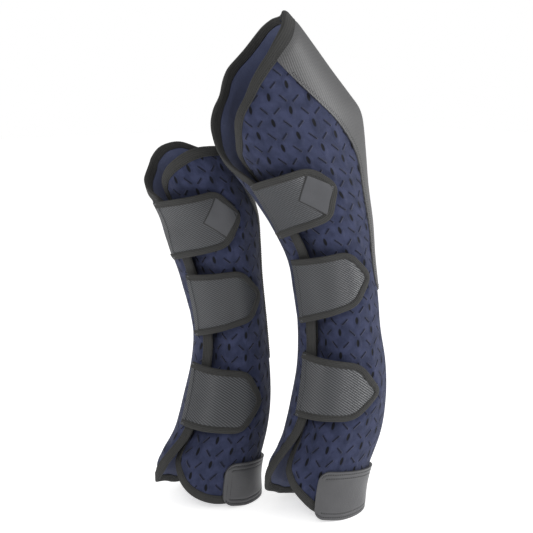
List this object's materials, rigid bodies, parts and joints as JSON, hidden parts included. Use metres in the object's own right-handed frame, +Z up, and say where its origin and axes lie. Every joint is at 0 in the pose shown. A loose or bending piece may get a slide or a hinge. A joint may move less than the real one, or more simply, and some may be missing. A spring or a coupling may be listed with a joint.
{
  "type": "horse travel boots",
  "caption": "Padded boots for transporting a horse: a short front boot and a tall hind boot with hock cover, each wrapped shut by hook-and-loop straps over a lapped flap.",
  "frame": {"origin": "centre of the pair's bounding box, on the floor under the heel guards", "axes": "+Z up the legs, -Y towards the horse's head (toes), +X to the horse's left, the outer side of both boots"},
  "size_m": [0.2711, 0.2886, 0.6628],
  "materials": {
    "navy_embossed": "matt, embossed",
    "foam": "matt foam",
    "lining": "smooth knit",
    "binding_tape": "woven tape",
    "strap_pu": "ribbed synthetic leather, semi-gloss",
    "grey_pu": "fine ribbed synthetic leather",
    "hook_loop": "hook and loop"
  },
  "bodies": {
    "front_boot": {"front_outer_cover": "navy_embossed", "front_outer_foam": "foam", "front_outer_lining": "lining", "front_outer_binding": "binding_tape", "front_inner_cover": "navy_embossed", "front_inner_foam": "foam", "front_inner_lining": "lining", "front_inner_binding": "binding_tape", "front_back_panel": "grey_pu", "front_heel_guard": "grey_pu", "front_strap_top_loop": "hook_loop", "front_strap_middle_loop": "hook_loop", "front_strap_bottom_loop": "hook_loop"},
    "front_top_strap": {"front_strap_top": "strap_pu", "front_strap_top_binding": "binding_tape", "front_strap_top_hook": "hook_loop"},
    "front_middle_strap": {"front_strap_middle": "strap_pu", "front_strap_middle_binding": "binding_tape", "front_strap_middle_hook": "hook_loop"},
    "front_bottom_strap": {"front_strap_bottom": "strap_pu", "front_strap_bottom_binding": "binding_tape", "front_strap_bottom_hook": "hook_loop"},
    "hind_boot": {"hind_outer_cover": "navy_embossed", "hind_outer_foam": "foam", "hind_outer_lining": "lining", "hind_outer_binding": "binding_tape", "hind_inner_cover": "navy_embossed", "hind_inner_foam": "foam", "hind_inner_lining": "lining", "hind_inner_binding": "binding_tape", "hind_back_panel": "grey_pu", "hind_heel_guard": "grey_pu", "hind_strap_top_loop": "hook_loop", "hind_strap_middle_loop": "hook_loop", "hind_strap_bottom_loop": "hook_loop"},
    "hind_top_strap": {"hind_strap_top": "strap_pu", "hind_strap_top_binding": "binding_tape", "hind_strap_top_hook": "hook_loop"},
    "hind_middle_strap": {"hind_strap_middle": "strap_pu", "hind_strap_middle_binding": "binding_tape", "hind_strap_middle_hook": "hook_loop"},
    "hind_bottom_strap": {"hind_strap_bottom": "strap_pu", "hind_strap_bottom_binding": "binding_tape", "hind_strap_bottom_hook": "hook_loop"}
  },
  "joints": [
    {"name": "front_boot_apart", "type": "slide", "parent": "hind_boot", "child": "front_boot", "axis": [-1, 0, 0], "range_m": [0, 0.25]},
    {"name": "front_top_strap_open", "type": "hinge", "parent": "front_boot", "child": "front_top_strap", "pos_m": [-0.06777, -0.12149, 0.3795], "axis": [0.0135, 0.3795, -0.9251], "range_deg": [0, 110]},
    {"name": "front_middle_strap_open", "type": "hinge", "parent": "front_boot", "child": "front_middle_strap", "pos_m": [-0.05919, -0.08464, 0.2765], "axis": [-0.0892, 0.2523, -0.9635], "range_deg": [0, 110]},
    {"name": "front_bottom_strap_open", "type": "hinge", "parent": "front_boot", "child": "front_bottom_strap", "pos_m": [-0.06545, -0.08819, 0.155], "axis": [0.0176, -0.2661, -0.9638], "range_deg": [0, 110]},
    {"name": "hind_top_strap_open", "type": "hinge", "parent": "hind_boot", "child": "hind_top_strap", "pos_m": [0.06873, -0.06101, 0.412], "axis": [-0.1023, 0.6289, -0.7707], "range_deg": [0, 110]},
    {"name": "hind_middle_strap_open", "type": "hinge", "parent": "hind_boot", "child": "hind_middle_strap", "pos_m": [0.06542, -0.00577, 0.3035], "axis": [-0.0139, 0.2212, -0.9751], "range_deg": [0, 110]},
    {"name": "hind_bottom_strap_open", "type": "hinge", "parent": "hind_boot", "child": "hind_bottom_strap", "pos_m": [0.06887, -0.00224, 0.18], "axis": [0.0178, -0.1816, -0.9832], "range_deg": [0, 110]}
  ]
}
